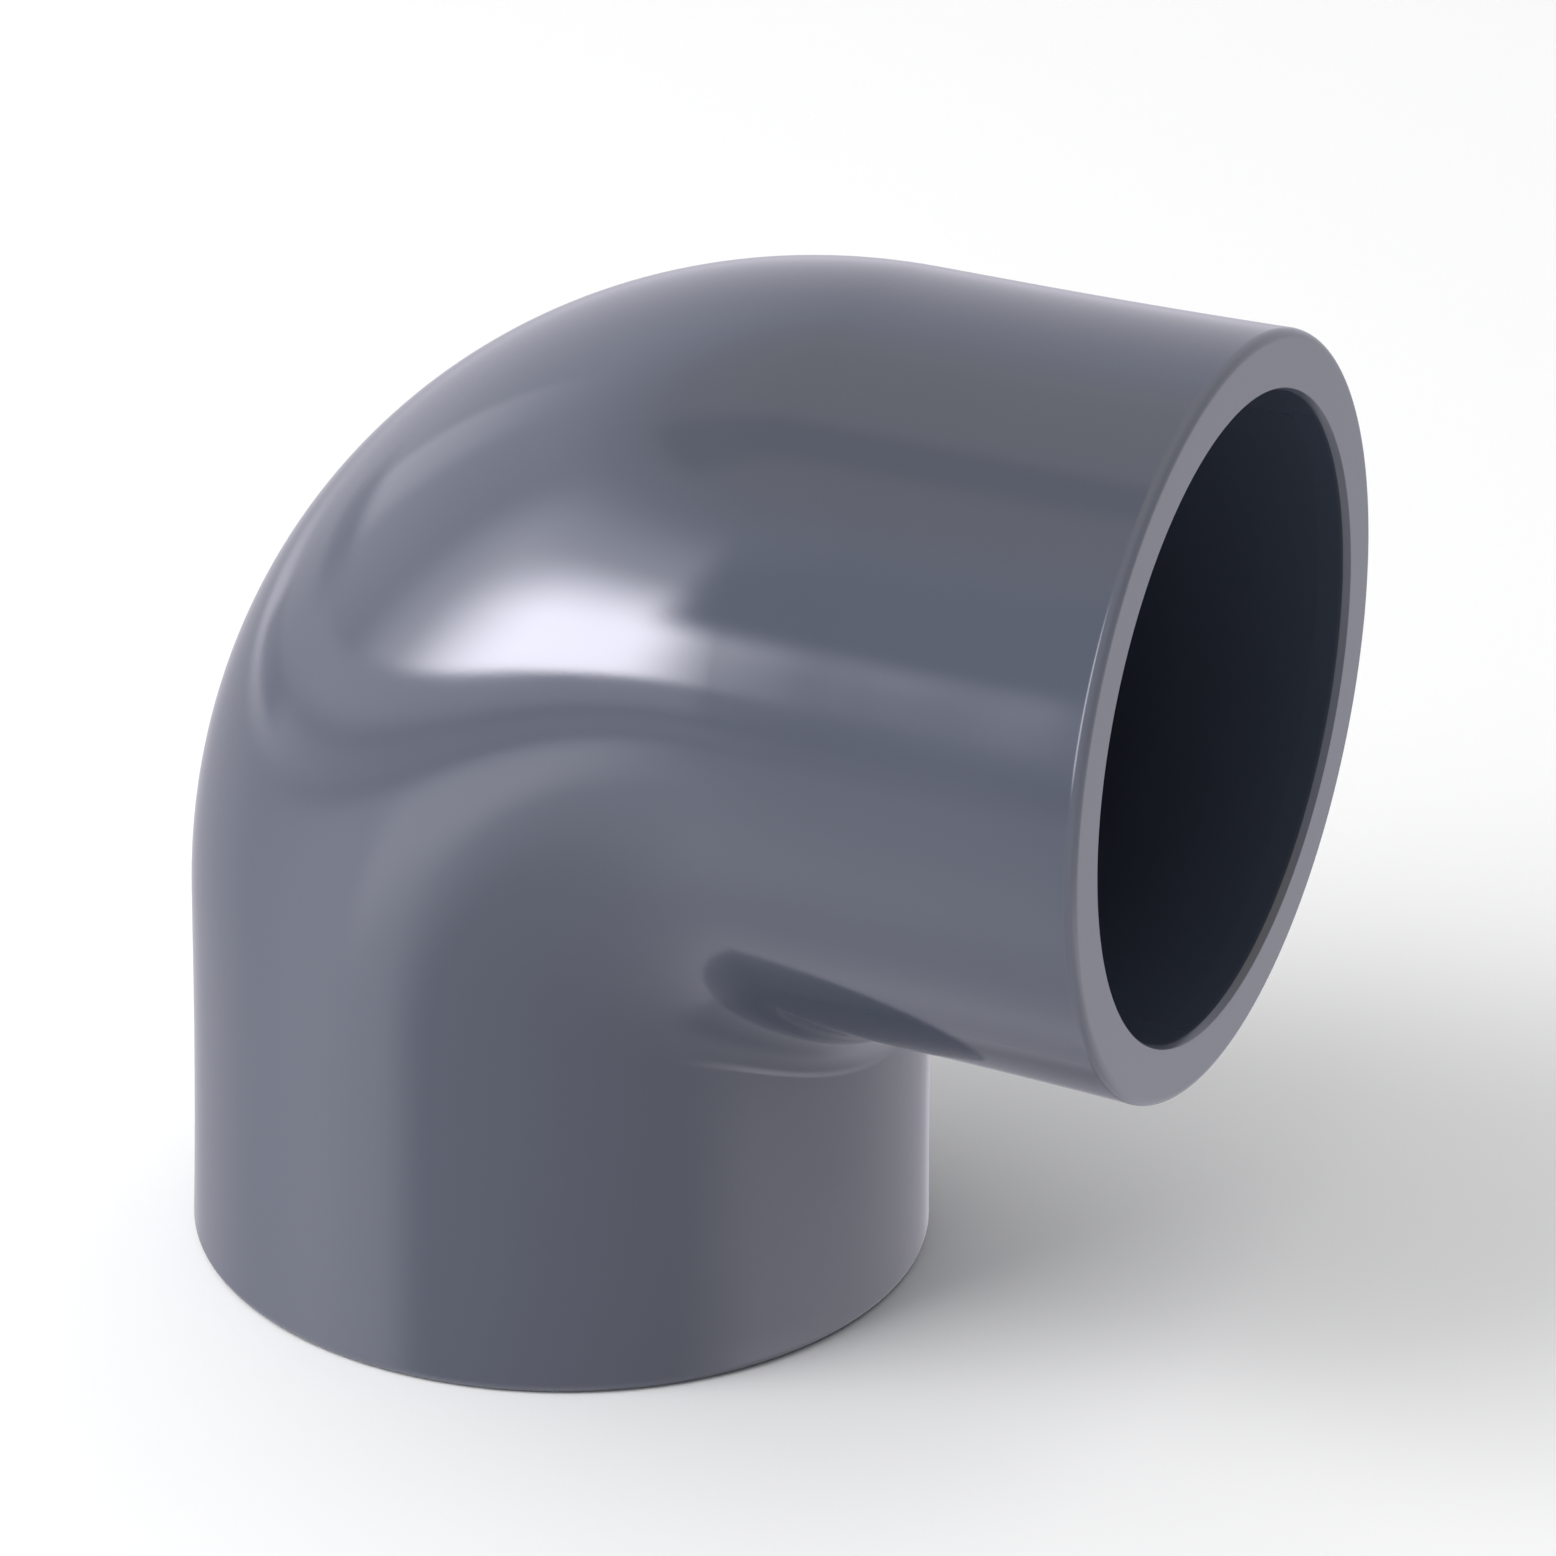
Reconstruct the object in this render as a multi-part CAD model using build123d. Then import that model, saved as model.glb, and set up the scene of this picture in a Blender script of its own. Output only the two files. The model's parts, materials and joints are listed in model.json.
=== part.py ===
from build123d import *
import math
import os

# Right-angled pipe elbow in hard PVC, with two plain sockets that pipe is cemented into.
# Units are millimetres. The elbow stands on the mouth of its lower socket, with the origin at
# that mouth's centre. +Z runs up the lower socket's axis, and +X is the way the side socket faces.
# The elbow is one moulding: the two halves on either side of the plane x + z = axis_height match.

# Driving dimensions
pipe_d = 63.0               # outside diameter of the pipe that the sockets take
socket_gap = 0.2            # how much wider than the pipe a socket is, on the diameter
socket_depth = 38.0         # from a mouth to the shoulder that stops the pipe
axis_height = 70.5          # from a mouth to where the two axes cross

mouth_d = 75.4              # outside diameter at a mouth
bend_d = 74.6               # outside diameter of the bend, and of the socket where it meets the bend
flare_length = 29.0         # length over which the socket's outside widens to mouth_d
bend_radius = 32.85         # radius of the bend's centre line on the outside
corner_radius = 6.0         # blend in the inner corner, between the two sockets

mouth_edge_radius = 1.0     # rounding of a mouth's outer edge
mouth_bevel_width = 0.3     # small bevel on a mouth's inner edge, across
mouth_bevel_depth = 0.7     # and along the axis
entry_widening = 0.15       # short taper that starts the pipe, on the radius
entry_depth = 3.3           # from the mouth to the end of that taper

waterway_d = 58.0           # bore of the bend, inside the shoulders
waterway_back_radius = 59.6 # rounding of the waterway's outer side
waterway_back_centre = 30.5 # that rounding's centre, from each axis towards the inner corner
shoulder_edge_radius = 0.5  # rounding of a shoulder's inner edge

# Worked out from the driving dimensions
socket_r = (pipe_d + socket_gap) / 2
mouth_r = mouth_d / 2
bend_r = bend_d / 2
waterway_r = waterway_d / 2
bend_start = axis_height - bend_radius          # height at which the outside begins to bend
waterway_bend = axis_height - socket_depth      # from a shoulder to where the axes cross
overlap = 1.0                                   # how far a cutting shape runs past what it cuts

halving_plane = Plane(origin=(axis_height, 0, 0), z_dir=(1, 0, 1))


def both_ends(shape):
    """The shape at the lower end, together with its twin at the side end."""
    return [shape, mirror(shape, about=halving_plane)]


def socket_outside():
    """Outside of the lower socket: straight beside the bend, then widening to a rounded mouth."""
    flare_drop = mouth_r - bend_r
    flare_height = flare_length - mouth_edge_radius
    flare_radius = (flare_height**2 + flare_drop**2) / (2 * flare_drop)
    turn = math.asin(flare_height / flare_radius) / 2
    flare_mid = (bend_r + flare_radius * (1 - math.cos(turn)), flare_length - flare_radius * math.sin(turn))
    edge_mid = mouth_edge_radius * (1 - math.sin(math.radians(45)))
    with BuildPart() as socket:
        with BuildSketch(Plane.XZ):
            with BuildLine():
                Line((0, bend_start), (0, 0))
                Line((0, 0), (mouth_r - mouth_edge_radius, 0))
                ThreePointArc(
                    (mouth_r - mouth_edge_radius, 0),
                    (mouth_r - edge_mid, edge_mid),
                    (mouth_r, mouth_edge_radius),
                )
                ThreePointArc((mouth_r, mouth_edge_radius), flare_mid, (bend_r, flare_length))
                Line((bend_r, flare_length), (bend_r, bend_start))
                Line((bend_r, bend_start), (0, bend_start))
            make_face()
        revolve(axis=Axis.Z)
    return socket.part.solid()


def bend_outside():
    """A quarter turn of the socket's circle. The part of the circle past the turning axis is cut off."""
    with BuildPart() as bend:
        with BuildSketch(Plane.XY.offset(bend_start)):
            Circle(bend_r)
            with Locations((bend_radius, 0)):
                Rectangle(bend_r, 3 * bend_r, align=(Align.MIN, Align.CENTER), mode=Mode.SUBTRACT)
        revolve(axis=Axis((bend_radius, 0, bend_start), (0, 1, 0)), revolution_arc=90)
    return bend.part.solid()


def corner_section(y):
    """Outline of the corner blend where a ball lying in the corner has its centre at this y."""
    sink = 0.02             # sets the blend a hair into the sockets, so that the surfaces cross
    reach = 14.0            # runs the outline well inside the sockets
    path_r = bend_r + corner_radius
    out = math.sqrt(path_r**2 - y**2)
    to_lower = Vector(out, y, 0) / path_r
    to_side = Vector(0, y, -out) / path_r
    between = (to_lower + to_side).normalized()
    centre = Vector(out, y, axis_height - out) - between * sink
    on_lower = centre - to_lower * corner_radius
    on_side = centre - to_side * corner_radius
    deepest = centre - between * corner_radius
    inside = centre - between * (corner_radius + reach)
    return Wire([
        Edge.make_three_point_arc(on_lower, deepest, on_side),
        Edge.make_line(on_side, inside),
        Edge.make_line(inside, on_lower),
    ])


def corner_blend():
    """Rounds the inner corner, from one side of the bend round to the other."""
    steps = 8
    path_r = bend_r + corner_radius
    end_y = math.sqrt(path_r**2 - bend_radius**2)
    places = [end_y * math.sin(math.radians(90 * i / steps)) for i in range(-steps, steps + 1)]
    return Solid.make_loft([corner_section(y) for y in places])


def socket_inside():
    """Hollow of the lower socket: bevel, entry taper, then a true cylinder down to the shoulder."""
    entry_r = socket_r + entry_widening
    with BuildPart() as hollow:
        with BuildSketch(Plane.XZ):
            Polygon(
                (0, -overlap),
                (entry_r + mouth_bevel_width, -overlap),
                (entry_r + mouth_bevel_width, 0),
                (entry_r, mouth_bevel_depth),
                (socket_r, entry_depth),
                (socket_r, socket_depth),
                (0, socket_depth),
                align=None,
            )
        revolve(axis=Axis.Z)
    return hollow.part.solid()


def core():
    """Lower half of the waterway, from the shoulder straight up past the crossing of the axes."""
    straight = Solid.make_cylinder(
        waterway_r,
        waterway_bend + waterway_r + 2 * overlap,
        Plane(origin=(0, 0, socket_depth - overlap)),
    )
    rounded_back = Solid.make_sphere(
        waterway_back_radius,
        Plane(origin=(waterway_back_centre, 0, axis_height - waterway_back_centre)),
    )
    return straight.intersect(rounded_back).solid()


def shoulder_edges(body):
    """The inner edges of the two shoulders that stop the pipes."""
    side_x = axis_height - socket_depth
    circles = body.edges().filter_by(GeomType.CIRCLE)
    lower = [e for e in circles if abs(e.radius - waterway_r) < 0.01 and abs(e.center().Z - socket_depth) < 0.01]
    side = [e for e in circles if abs(e.radius - waterway_r) < 0.01 and abs(e.center().X - side_x) < 0.01]
    return lower + side


def elbow_body():
    lower, side = both_ends(socket_outside())
    outside = lower.fuse(side, bend_outside(), corner_blend())
    sockets = both_ends(socket_inside())
    cores = both_ends(core())
    body = outside.cut(*sockets, *cores)
    return body.fillet(shoulder_edge_radius, shoulder_edges(body))


os.makedirs("parts", exist_ok=True)
export_step(elbow_body(), "parts/elbow_body.step")
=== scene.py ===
import json
import math

import bmesh
import bpy
from mathutils import Matrix, Vector


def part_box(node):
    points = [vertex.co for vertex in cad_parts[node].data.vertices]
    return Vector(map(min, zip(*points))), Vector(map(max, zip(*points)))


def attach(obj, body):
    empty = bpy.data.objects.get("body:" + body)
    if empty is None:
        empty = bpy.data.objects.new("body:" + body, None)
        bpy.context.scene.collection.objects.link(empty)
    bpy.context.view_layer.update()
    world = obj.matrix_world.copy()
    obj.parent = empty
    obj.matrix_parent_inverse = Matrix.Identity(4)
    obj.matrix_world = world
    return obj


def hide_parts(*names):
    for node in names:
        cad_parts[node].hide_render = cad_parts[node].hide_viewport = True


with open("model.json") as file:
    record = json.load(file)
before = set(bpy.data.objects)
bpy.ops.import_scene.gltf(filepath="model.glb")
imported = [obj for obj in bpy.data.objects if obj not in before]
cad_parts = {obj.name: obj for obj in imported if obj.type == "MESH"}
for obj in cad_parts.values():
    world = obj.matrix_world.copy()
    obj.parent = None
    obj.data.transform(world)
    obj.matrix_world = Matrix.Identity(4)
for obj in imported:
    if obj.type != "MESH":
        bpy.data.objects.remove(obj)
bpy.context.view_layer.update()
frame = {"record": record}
record = frame["record"]
mounts = {m["name"]: m for m in record["mounts"]}

MM = 0.001

# Sizes that the frame gives
axis_height = mounts["side_socket"]["pos_m"][2]
mouth_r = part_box("elbow_body")[1].y
socket_r = mounts["lower_socket"]["dims"]["r_mm"] * MM
entry_depth = mounts["lower_socket"]["pos_m"][2]
socket_depth = entry_depth + mounts["lower_socket"]["dims"]["length_mm"] * MM
crossing = Vector((0, 0, axis_height))

# Sizes of the moulding that the frame doesn't give
flare = 0.4 * MM                    # how much the outside's radius grows from the bend to a mouth
flare_length = 29.0 * MM
bend_r = mouth_r - flare
bend_radius = 32.85 * MM
corner_radius = 4.0 * MM            # the inner corner's blend, which the softness widens to 5.6 mm
corner_softness = 8.0 * MM          # how gradually the bend passes into that blend
mouth_edge_radius = 1.0 * MM
bevel_width = 0.3 * MM
bevel_depth = 0.7 * MM
entry_widening = 0.15 * MM
small_edge_radius = 0.12 * MM
waterway_r = 29.0 * MM
waterway_back_radius = 59.6 * MM
waterway_back_centre = 30.5 * MM    # from each axis towards the inner corner
shoulder_edge_radius = 0.5 * MM

# Fineness of the mesh, and the least angle of a sharp edge in degrees
columns = 288
bend_steps = 36
socket_steps = 10
waterway_steps = 18
crease_angle = 32


def new_object(name, data):
    obj = bpy.data.objects.new(name, data)
    bpy.context.scene.collection.objects.link(obj)
    return obj


# ---------------------------------------------------------------- shape of the moulding
# The elbow matches itself about the plane that halves the bend, so only its lower half is worked
# out, in (x, y, drop): drop is the distance below the crossing of the two axes. Swapping x and drop
# gives the side half. Each row goes once round the section, and the rows go down the outside,
# over the mouth's rim, up the socket and along the waterway.

def round_section(radius):
    """Points round a circle, as (inward, across): inward is towards the inner corner."""
    turns = [2 * math.pi * i / columns for i in range(columns)]
    return [(radius * math.cos(t), radius * math.sin(t)) for t in turns]


def bend_size(inward):
    """Radius of the bend this far inward. In the inner corner, the blend takes over from the bend."""
    bend = bend_radius - inward
    blend = inward * corner_radius / bend_r
    fully_soft_from = bend_r / 2
    softness = corner_softness * min(1, max(0, inward / fully_soft_from))
    return (bend + blend + math.hypot(bend - blend, softness)) / 2


def bend_row(turn):
    """Outside of the bend, turn radians past the end of the lower socket."""
    row = []
    for inward, across in round_section(bend_r):
        size = bend_size(inward)
        row.append((inward + size * (1 - math.cos(turn)), across, inward + size * (1 - math.sin(turn))))
    return row


def socket_row(share):
    """Outside of the lower socket, from where it meets the bend (share 0) to the mouth's edge (share 1)."""
    row = []
    mouth_edge = axis_height - mouth_edge_radius
    for inward, across in round_section(bend_r):
        top = inward + bend_size(inward)
        drop = top + share * (mouth_edge - top)
        down_flare = max(0.0, drop - (axis_height - flare_length)) / (flare_length - mouth_edge_radius)
        widening = 1 + (mouth_r / bend_r - 1) * down_flare**2
        row.append((inward * widening, across * widening, drop))
    return row


def rounded_profile(corners):
    """Line through corners given as (radius, depth, rounding, steps), with each corner rounded."""
    line = []
    for before, corner, after in zip(corners, corners[1:], corners[2:]):
        here = Vector(corner[:2])
        rounding, steps = corner[2:]
        back = (Vector(before[:2]) - here).normalized()
        on = (Vector(after[:2]) - here).normalized()
        half = back.angle(on) / 2
        centre = here + (back + on).normalized() * (rounding / math.sin(half))
        reach = rounding / math.tan(half)
        start, end = here + back * reach - centre, here + on * reach - centre
        sweep = math.pi - 2 * half
        for i in range(steps + 1):
            share = i / steps
            line.append(
                centre
                + start * (math.sin((1 - share) * sweep) / math.sin(sweep))
                + end * (math.sin(share * sweep) / math.sin(sweep))
            )
    return line


def mouth_rows():
    """Rim, bevel, entry taper, socket and shoulder of the lower end."""
    entry_r = socket_r + entry_widening
    corners = [
        # radius, depth, rounding and steps
        (mouth_r, flare_length, 0, 0),
        (mouth_r, 0, mouth_edge_radius, 10),
        (entry_r + bevel_width, 0, small_edge_radius, 4),
        (entry_r, bevel_depth, small_edge_radius, 3),
        (socket_r, entry_depth, small_edge_radius, 1),
        (socket_r, socket_depth, 2 * small_edge_radius, 4),
        (waterway_r, socket_depth, shoulder_edge_radius, 6),
        (waterway_r, axis_height, 0, 0),
    ]
    rows = []
    for radius, depth in rounded_profile(corners):
        rows.append([(x, y, axis_height - depth) for x, y in round_section(radius)])
    return rows


def waterway_row(turn):
    """Waterway, turn radians round from the shoulder: two straight bores, with a rounded back."""
    pivot = axis_height - socket_depth
    offset = pivot - waterway_back_centre
    row = []
    for inward, across in round_section(waterway_r):
        square = (pivot - inward) / max(math.cos(turn), math.sin(turn))
        back_r2 = waterway_back_radius**2 - across**2
        along = offset * (math.cos(turn) + math.sin(turn))
        rounded = along + math.sqrt(along**2 - 2 * offset**2 + back_r2)
        reach = min(square, rounded)
        row.append((pivot - reach * math.cos(turn), across, pivot - reach * math.sin(turn)))
    return row


def lower_rows():
    """All the rows of the lower half, from the halving plane outside to the halving plane inside."""
    half_bend = math.pi / 4
    rows = [bend_row(half_bend * (1 - i / bend_steps)) for i in range(bend_steps)]
    rows += [socket_row(i / socket_steps) for i in range(socket_steps)]
    rows += mouth_rows()
    rows += [waterway_row(half_bend * (i + 1) / waterway_steps) for i in range(waterway_steps)]
    return rows


def elbow_mesh():
    """Closed mesh of the moulding: the lower rows, then the side rows, round to the start again."""
    lower = lower_rows()
    side = [[(drop, y, x) for x, y, drop in row] for row in reversed(lower[1:-1])]
    rows = lower + side
    verts = [(x, y, axis_height - drop) for row in rows for x, y, drop in row]
    faces = []
    for i in range(len(rows)):
        here, there = i * columns, (i + 1) % len(rows) * columns
        for j in range(columns):
            k = (j + 1) % columns
            faces.append((here + j, there + j, there + k, here + k))
    mesh = bpy.data.meshes.new("elbow_moulding")
    mesh.from_pydata(verts, [], faces)
    mesh.shade_smooth()
    mesh.set_sharp_from_angle(angle=math.radians(crease_angle))
    return mesh


# ---------------------------------------------------------------- shading nodes

class Shading:
    """A material's nodes, with short ways to add the kinds of node that the materials here share."""

    def __init__(self, name):
        self.material = bpy.data.materials.new(name)
        self.material.use_nodes = True
        self.nodes, self.links = self.material.node_tree.nodes, self.material.node_tree.links
        self.place = self.nodes.new("ShaderNodeTexCoord").outputs["Object"]

    def feed(self, socket, value):
        """Link a node's output to the socket, or set the socket to a plain value."""
        if isinstance(value, bpy.types.NodeSocket):
            self.links.new(value, socket)
        else:
            socket.default_value = value

    def maths(self, operation, *inputs):
        node = self.nodes.new("ShaderNodeMath")
        node.operation = operation
        for socket, value in zip(node.inputs, inputs):
            self.feed(socket, value)
        return node.outputs[0]

    def axes(self, vector):
        node = self.nodes.new("ShaderNodeSeparateXYZ")
        self.links.new(vector, node.inputs[0])
        return node.outputs

    def noise(self, scale, detail):
        node = self.nodes.new("ShaderNodeTexNoise")
        node.inputs["Scale"].default_value = scale
        node.inputs["Detail"].default_value = detail
        self.links.new(self.place, node.inputs["Vector"])
        return node.outputs["Fac"]

    def remap(self, value, start, end, before, after, interpolation):
        """Goes from before to after while the value goes from start to end."""
        node = self.nodes.new("ShaderNodeMapRange")
        node.interpolation_type = interpolation
        node.inputs["From Min"].default_value = start
        node.inputs["From Max"].default_value = end
        node.inputs["To Min"].default_value = before
        node.inputs["To Max"].default_value = after
        self.links.new(value, node.inputs["Value"])
        return node.outputs["Result"]

    def fade(self, value, start, end, before, after):
        """The same, starting and ending softly."""
        return self.remap(value, start, end, before, after, "SMOOTHSTEP")

    def mix_colours(self, share, first, second):
        node = self.nodes.new("ShaderNodeMix")
        node.data_type = "RGBA"
        self.feed(node.inputs["Factor"], share)
        self.feed(node.inputs["A"], first)
        self.feed(node.inputs["B"], second)
        return node.outputs["Result"]

    def bump(self, height, distance):
        node = self.nodes.new("ShaderNodeBump")
        node.inputs["Distance"].default_value = distance
        self.links.new(height, node.inputs["Height"])
        return node


# ---------------------------------------------------------------- material

def grey_pvc():
    """Glossy grey PVC. Colour, gloss and the skin's slight waviness vary as on a moulded part."""
    dark_grey = (0.052, 0.062, 0.089, 1)
    light_grey = (0.057, 0.068, 0.098, 1)
    rim_grey = (0.098, 0.109, 0.140, 1)
    cloud_scale, cloud_detail = 35, 3
    glossy, less_glossy, rim_satin = 0.07, 0.13, 0.15
    gloss_scale, gloss_detail = 90, 4
    rim_depth, rim_fade_end = 0.4 * MM, 1.2 * MM
    wave_scale, wave_detail, wave_height = 55, 1, 0.03 * MM
    grain_scale, grain_detail, grain_height = 2200, 2, 0.0015 * MM

    pvc = Shading("grey_pvc")
    shader = pvc.nodes["Principled BSDF"]
    shader.inputs["IOR"].default_value = 1.53

    # The mouths' rims are paler and more satin than the skin
    axes = pvc.axes(pvc.place)
    side_depth = pvc.maths("SUBTRACT", axis_height, axes["X"])
    depth = pvc.maths("MINIMUM", side_depth, axes["Z"])
    rim = pvc.fade(depth, rim_fade_end, rim_depth, 0, 1)

    skin = pvc.mix_colours(pvc.noise(cloud_scale, cloud_detail), dark_grey, light_grey)
    pvc.feed(shader.inputs["Base Color"], pvc.mix_colours(rim, skin, rim_grey))

    gloss_noise = pvc.noise(gloss_scale, gloss_detail)
    roughness = pvc.remap(gloss_noise, 0, 1, glossy, less_glossy, "LINEAR")
    pvc.feed(shader.inputs["Roughness"], pvc.maths("MULTIPLY_ADD", rim, rim_satin, roughness))

    waves = pvc.bump(pvc.noise(wave_scale, wave_detail), wave_height)
    grain = pvc.bump(pvc.noise(grain_scale, grain_detail), grain_height)
    pvc.links.new(waves.outputs["Normal"], grain.inputs["Normal"])
    pvc.links.new(grain.outputs["Normal"], shader.inputs["Normal"])
    return pvc.material


# ---------------------------------------------------------------- studio
# Directions are in degrees: an azimuth turns from +X towards +Y, and an elevation is above the
# horizon. The camera looks from azimuth -65.
first_azimuth = -260
last_azimuth = 100


def direction(azimuth, elevation):
    a, e = math.radians(azimuth), math.radians(elevation)
    return Vector((math.cos(a) * math.cos(e), math.sin(a) * math.cos(e), math.sin(e)))


def key_light(azimuth, elevation, size, distance, power):
    """Large soft lamp for light and shadow. The gloss shows the surroundings instead."""
    light = bpy.data.lights.new("key_light", "AREA")
    light.size = size
    light.energy = power
    obj = new_object("key_light", light)
    place = crossing + direction(azimuth, elevation) * distance
    turn = (crossing - place).to_track_quat("-Z", "Y")
    obj.matrix_world = Matrix.Translation(place) @ turn.to_matrix().to_4x4()
    obj.visible_camera = False
    obj.visible_glossy = False


def sheet(name, outer, inner):
    """Flat ring on the ground, or a disc where there is no inner radius."""
    edges = [radius for radius in (outer, inner) if radius]
    steps = 96
    turns = [2 * math.pi * i / steps for i in range(steps)]
    verts = [(radius * math.cos(t), radius * math.sin(t), 0) for radius in edges for t in turns]
    if inner:
        faces = [(i, (i + 1) % steps, steps + (i + 1) % steps, steps + i) for i in range(steps)]
    else:
        faces = [tuple(range(steps))]
    mesh = bpy.data.meshes.new(name)
    mesh.from_pydata(verts, [], faces)
    obj = new_object(name, mesh)
    return obj


def floor():
    """Pale floor. The gloss sees only the disc under the elbow, and the surroundings elsewhere."""
    floor_r = 14.0
    off_white = (0.9, 0.9, 0.9, 1)
    material = bpy.data.materials.new("floor")
    material.use_nodes = True
    shader = material.node_tree.nodes["Principled BSDF"]
    shader.inputs["Base Color"].default_value = off_white
    shader.inputs["Roughness"].default_value = 0.9
    shader.inputs["Specular IOR Level"].default_value = 0.1
    around = sheet("floor", floor_r, mouth_r)
    around.visible_glossy = False
    under = sheet("floor_under_elbow", mouth_r, None)
    for obj in (around, under):
        obj.data.materials.append(material)


class Painting(Shading):
    """Glowing material painted with soft-edged patches of light, for what only the gloss sees.

    A patch is its brightness, where 1 is white, and the places between which its left, right, bottom
    and top edges fade in or out. Later patches lie over earlier ones.
    """

    def __init__(self, name):
        super().__init__(name)
        self.material.cycles.emission_sampling = "NONE"
        self.nodes.remove(self.nodes["Principled BSDF"])

    def azimuth(self):
        axes = self.axes(self.place)
        turned = self.maths("DEGREES", self.maths("ARCTAN2", axes["Y"], axes["X"]))
        return self.maths("WRAP", turned, last_azimuth, first_azimuth)

    def elevation(self):
        unit = self.nodes.new("ShaderNodeVectorMath")
        unit.operation = "NORMALIZE"
        self.links.new(self.place, unit.inputs[0])
        height = self.axes(unit.outputs["Vector"])["Z"]
        return self.maths("DEGREES", self.maths("ARCSINE", height))

    def mask(self, across, up, left, right, bottom, top):
        """1 inside the patch and 0 outside it."""
        sides = self.maths("MULTIPLY", self.fade(across, *left, 0, 1), self.fade(across, *right, 1, 0))
        ends = self.maths("MULTIPLY", self.fade(up, *bottom, 0, 1), self.fade(up, *top, 1, 0))
        return self.maths("MULTIPLY", sides, ends)

    def paint(self, background, across, up, patches):
        brightness = background
        for level, left, right, bottom, top in patches.values():
            mask = self.mask(across, up, left, right, bottom, top)
            change = self.maths("SUBTRACT", level, brightness)
            brightness = self.maths("MULTIPLY_ADD", change, mask, brightness)
        return brightness

    def glow(self, brightness, colour):
        emission = self.nodes.new("ShaderNodeEmission")
        self.feed(emission.inputs["Strength"], brightness)
        self.feed(emission.inputs["Color"], colour)
        self.links.new(emission.outputs[0], self.nodes["Material Output"].inputs["Surface"])
        return self.material


def only_in_gloss(obj):
    """Show the stage object in reflections only."""
    obj.visible_camera = obj.visible_diffuse = obj.visible_shadow = obj.visible_transmission = False


def surroundings():
    """What the gloss reflects: a large ball round the elbow, painted by azimuth and elevation."""
    ball_r = 1.0
    segments, rings = 48, 24
    background = 1.0
    low_tint = (0.99, 0.96, 1.07, 1)
    high_tint = (1.12, 1.0, 0.88, 1)
    tint_from, tint_to = 42, 62

    mesh = bpy.data.meshes.new("surroundings")
    ball = bmesh.new()
    bmesh.ops.create_uvsphere(ball, u_segments=segments, v_segments=rings, radius=ball_r)
    ball.to_mesh(mesh)
    ball.free()
    obj = new_object("surroundings", mesh)
    obj.location = crossing
    only_in_gloss(obj)

    painting = Painting("surroundings")
    azimuth = painting.azimuth()
    elevation = painting.elevation()
    patches = {
        # brightness, then left, right, bottom and top
        "far_table": (0.72, (-261, -260), (99, 100), (-89, -88), (-12, -4)),
        "far_shadow": (0.40, (-261, -260), (-234, -222), (-89, -88), (-42, -28)),
        "table": (1.20, (-220, -165), (48, 92), (-89, -88), (-12, -4)),
        "right_of_table": (2.80, (-32, 2), (-10, 64), (-40, -32.5), (-31.5, -28)),
        "lit_wall": (1.70, (-255, -175), (-111, -109.3), (-12, 16), (36, 56)),
        "skirting": (2.20, (-195, -150), (-112, -109.3), (-6, -1), (3, 5)),
        "second_lamp": (2.25, (-206, -202), (-195, -187), (8, 11), (20, 42)),
        "shelf": (0.90, (-213, -204), (-197, -180), (1, 4), (7, 9)),
        "softbox_edge": (4.2, (-168, -148), (-111, -109.6), (3, 5.5), (25, 46)),
        "softbox": (18.0, (-154, -131), (-120, -109.5), (3, 5.5), (15, 31)),
        "wall_corner": (0.85, (-122, -115), (-101, -100), (15, 23), (60, 72)),
        "window": (8.0, (-106.5, -104), (-92, -82), (-4, 6), (34, 56)),
        "ceiling_gap": (0.64, (-184, -168), (-152, -138), (51, 55), (73, 77)),
        # painted shade: the floor under the elbow, darker where the elbow shades it, as the gloss sees it
        "under_elbow": (0.75, (-50, -20), (70, 90), (-95, -90), (-68, -50)),
        "lit_table": (2.35, (-180, -135), (-122, -104), (-66, -22), (-14, -10)),
        "table_glow": (3.20, (-137, -129), (-118, -111), (-27, -20), (-16, -11)),
        "table_edge": (1.60, (-225, -205), (-111, -108), (-12, -9), (-7, -4)),
        "table_edge_shadow": (0.85, (-208, -202), (-186, -172), (-9, -7.5), (-5, -3.5)),
    }
    brightness = painting.paint(background, azimuth, elevation, patches)
    high = painting.fade(elevation, tint_from, tint_to, 0, 1)
    tint = painting.mix_colours(high, low_tint, high_tint)
    mesh.materials.append(painting.glow(brightness, tint))


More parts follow.
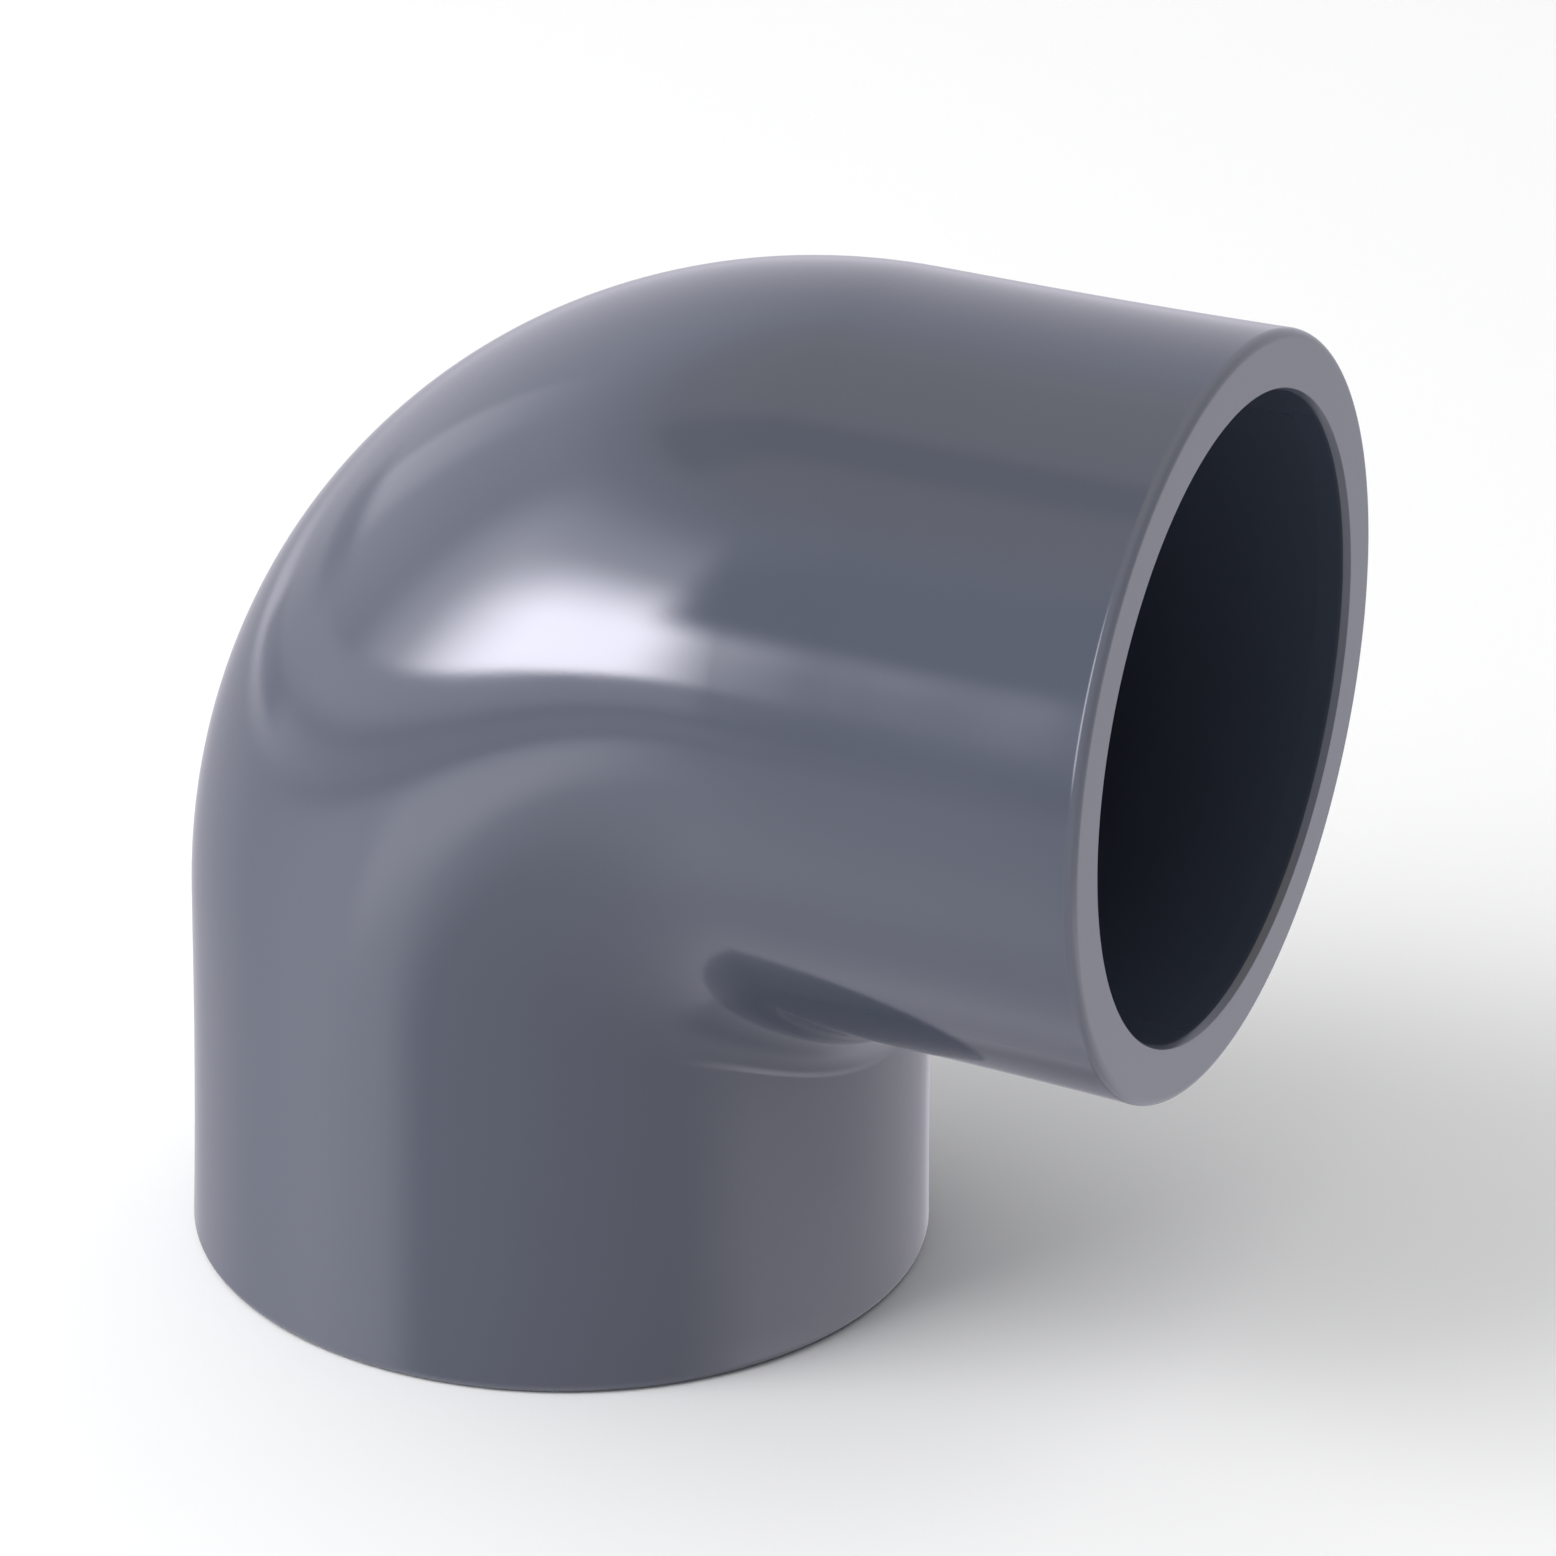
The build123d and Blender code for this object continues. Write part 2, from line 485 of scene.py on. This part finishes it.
def ambient(brightness, dim_brightness):
    """Soft white light from all round, dimmer from the side that the side socket faces."""
    dim_side = direction(-12, -12)
    dim_from, dim_to = 0.0, 0.8

    world = bpy.data.worlds.new("ambient")
    world.use_nodes = True
    nodes, links = world.node_tree.nodes, world.node_tree.links
    towards = nodes.new("ShaderNodeVectorMath")
    towards.operation = "DOT_PRODUCT"
    towards.inputs[1].default_value = dim_side
    links.new(nodes.new("ShaderNodeTexCoord").outputs["Generated"], towards.inputs[0])
    dimming = nodes.new("ShaderNodeMapRange")
    dimming.interpolation_type = "SMOOTHSTEP"
    dimming.inputs["From Min"].default_value = dim_from
    dimming.inputs["From Max"].default_value = dim_to
    dimming.inputs["To Min"].default_value = brightness
    dimming.inputs["To Max"].default_value = dim_brightness
    links.new(towards.outputs["Value"], dimming.inputs["Value"])
    links.new(dimming.outputs["Result"], nodes["Background"].inputs["Strength"])
    nodes["Background"].inputs["Color"].default_value = (1, 1, 1, 1)
    bpy.context.scene.world = world


def camera():
    """Looks down on the elbow from in front and a little to its right, through a long lens."""
    azimuth, elevation, roll = -65.41, 25.37, 1.06
    distance = 719.0 * MM
    aim_right, aim_down = 21.03 * MM, 19.26 * MM
    focal_length, film_width = 168.6, 36.0
    nearest = 0.01

    back = direction(azimuth, elevation)
    level = direction(azimuth + 90, 0)
    right = Matrix.Rotation(math.radians(roll), 3, back) @ level
    up = back.cross(right)
    place = crossing + back * distance + right * aim_right - up * aim_down
    lens = bpy.data.cameras.new("camera")
    lens.lens = focal_length
    lens.sensor_width = film_width
    lens.clip_start = nearest
    obj = new_object("camera", lens)
    obj.matrix_world = Matrix.Translation(place) @ Matrix((right, up, back)).transposed().to_4x4()
    bpy.context.scene.camera = obj


elbow = new_object("elbow_moulding", elbow_mesh())
elbow.data.materials.append(grey_pvc())
weighted = elbow.modifiers.new("even_shading", "WEIGHTED_NORMAL")
weighted.keep_sharp = True
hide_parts("elbow_body")
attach(elbow, "root")

floor()
surroundings()
ambient(brightness=0.95, dim_brightness=0.05)
key_light(azimuth=-131, elevation=42, size=0.9, distance=1.5, power=15)
camera()
bpy.context.scene.view_settings.view_transform = "Standard"
